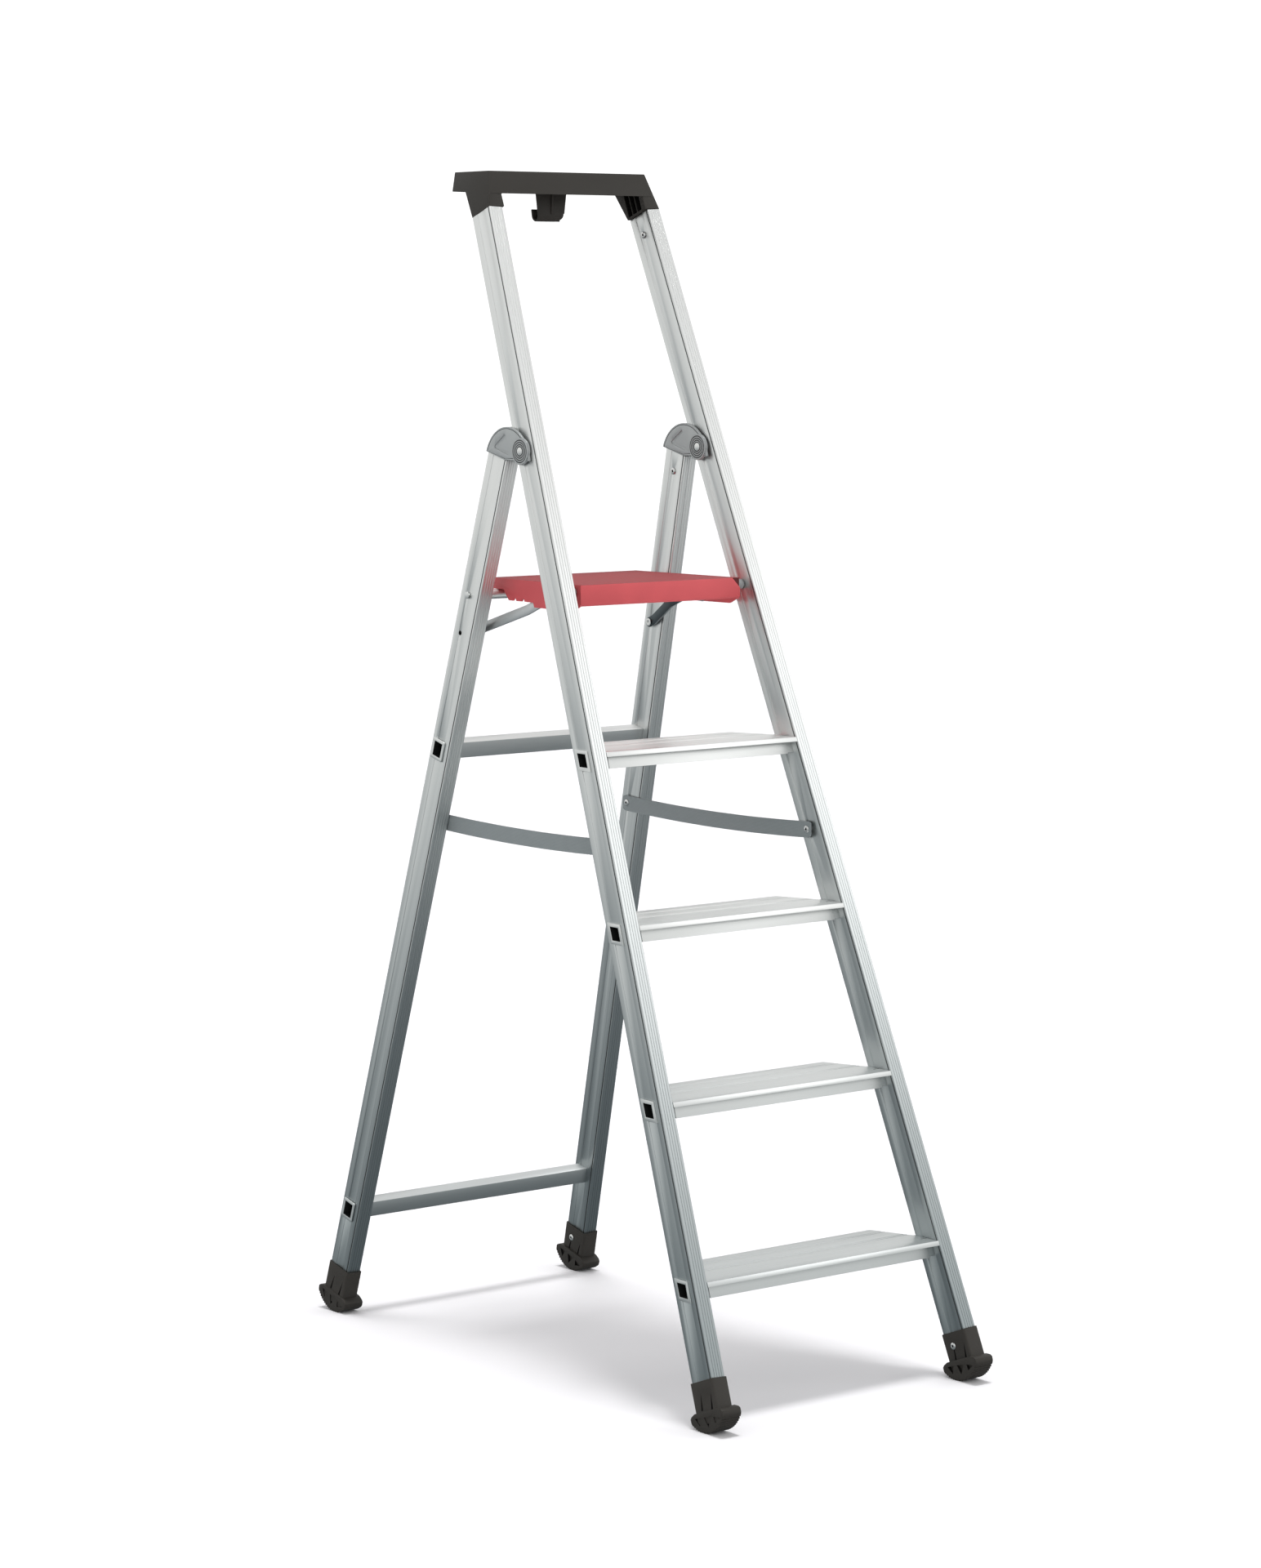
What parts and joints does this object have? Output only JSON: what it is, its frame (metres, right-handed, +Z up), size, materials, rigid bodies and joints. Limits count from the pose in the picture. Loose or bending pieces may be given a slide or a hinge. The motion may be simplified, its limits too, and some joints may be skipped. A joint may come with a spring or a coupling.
{
  "type": "step ladder",
  "caption": "Folding step ladder with a hinged standing platform, a guard frame that carries a tool tray and bucket hook, webbing straps and rounded feet.",
  "frame": {"origin": "on the floor, in the middle of the footprint", "axes": "+Z up, +Y the way the user climbs, from the treads to the rear legs, +X to the right of a user who climbs"},
  "size_m": [0.5086, 1.0024, 1.758],
  "materials": {
    "rail_aluminium": "extruded, fine lengthwise lines, satin",
    "tread_aluminium": "extruded with grooves, satin",
    "black_plastic": "moulded, fine grain",
    "hinge_grey": "die cast, grey, satin",
    "red_deck": "moulded, satin",
    "strap_webbing": "flat woven webbing",
    "strut_steel": "zinc plated strip",
    "grey_spacer": "moulded",
    "rivet_metal": "bright"
  },
  "bodies": {
    "front_frame": {"stile_left": "rail_aluminium", "stile_right": "rail_aluminium", "tread_1": "tread_aluminium", "tread_2": "tread_aluminium", "tread_3": "tread_aluminium", "tread_4": "tread_aluminium", "tool_tray": "black_plastic", "tray_rivets": "rivet_metal", "bucket_hook": "black_plastic", "foot_front_left": "black_plastic", "foot_front_right": "black_plastic", "foot_rivets_front": "rivet_metal", "hinge_pins": "rivet_metal", "hinge_sleeves": "rivet_metal", "platform_pins": "rivet_metal", "platform_spacers": "grey_spacer", "strap_left": "strap_webbing", "strap_right": "strap_webbing", "strap_rivets_front": "rivet_metal"},
    "rear_frame": {"leg_left": "rail_aluminium", "leg_right": "rail_aluminium", "crossbar_upper": "tread_aluminium", "crossbar_lower": "tread_aluminium", "platform_rest_bar": "tread_aluminium", "hinge_left": "hinge_grey", "hinge_right": "hinge_grey", "hinge_rivets": "rivet_metal", "foot_rear_left": "black_plastic", "foot_rear_right": "black_plastic", "foot_rivets_rear": "rivet_metal", "strap_rivets_rear": "rivet_metal", "strut_pins": "rivet_metal"},
    "platform": {"platform": "red_deck", "guide_left": "strut_steel", "guide_right": "strut_steel"},
    "struts": {"strut_left": "strut_steel", "strut_right": "strut_steel", "guide_pins": "rivet_metal"}
  },
  "joints": [
    {"name": "rear_fold", "type": "hinge", "parent": "front_frame", "child": "rear_frame", "pos_m": [0, 0.05559, 1.3478], "axis": [-1, 0, 0], "range_deg": [0, 36], "deforming": ["strap_left", "strap_right"]},
    {"name": "platform_fold", "type": "hinge", "parent": "front_frame", "child": "platform", "pos_m": [0, -0.02823, 1.1445], "axis": [1, 0, 0], "range_deg": [0, 69]},
    {"name": "strut_swing", "type": "hinge", "parent": "rear_frame", "child": "struts", "pos_m": [0, 0.19439, 1.07418], "axis": [-1, 0, 0], "range_deg": [0, 33.5]}
  ],
  "couplings": [
    {"joint": "platform_fold", "follows": "rear_fold", "ratio": 1.9111},
    {"joint": "strut_swing", "follows": "rear_fold", "ratio": 0.92}
  ]
}
